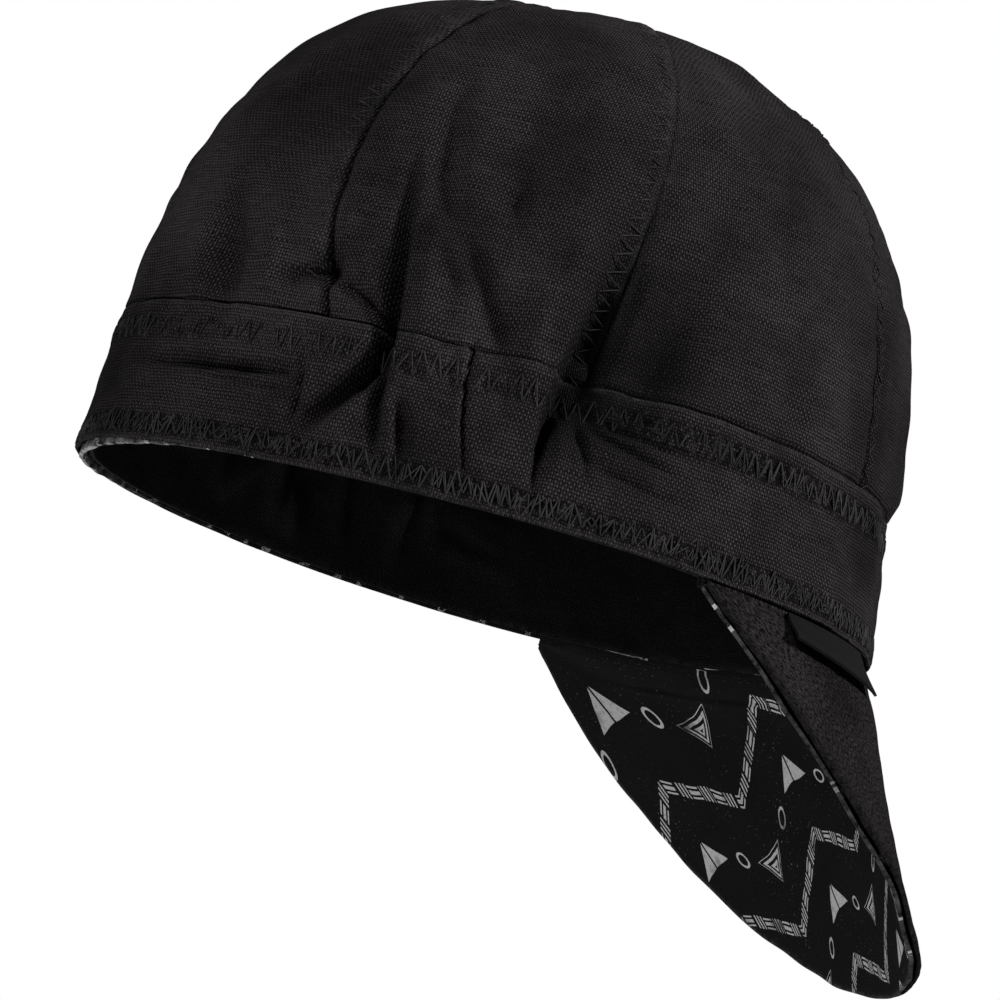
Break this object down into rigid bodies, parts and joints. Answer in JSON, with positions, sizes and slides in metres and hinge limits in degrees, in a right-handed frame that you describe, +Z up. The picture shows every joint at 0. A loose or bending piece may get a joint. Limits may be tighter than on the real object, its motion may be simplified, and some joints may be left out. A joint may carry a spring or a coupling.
{
  "type": "welding cap",
  "caption": "Soft rounded cloth cap with a crown of sewn panels, a gathered band, and a short soft bill that hangs at the front; worn by welders under a helmet.",
  "frame": {"origin": "middle of the head opening, level with the rim, where the cap sits on a head", "axes": "+Z up through the crown, -Y towards the bill at the front, +X towards the wearer's left"},
  "size_m": [0.1691, 0.2342, 0.2174],
  "materials": {
    "canvas": "black plain-weave cotton canvas, matt",
    "lining": "black cotton printed with a light grey geometric pattern",
    "sweatband": "plain black cotton",
    "label": "black woven tape, bare"
  },
  "bodies": {
    "root": {"crown_panel_front": "canvas", "crown_panel_side_left": "canvas", "crown_panel_gathered_left": "canvas", "crown_panel_rear": "canvas", "crown_panel_gathered_right": "canvas", "crown_panel_side_right": "canvas", "band": "canvas", "sweatband": "sweatband", "lining_edge": "lining", "bill": "canvas", "bill_lining": "lining", "label_tab": "label"}
  },
  "joints": []
}
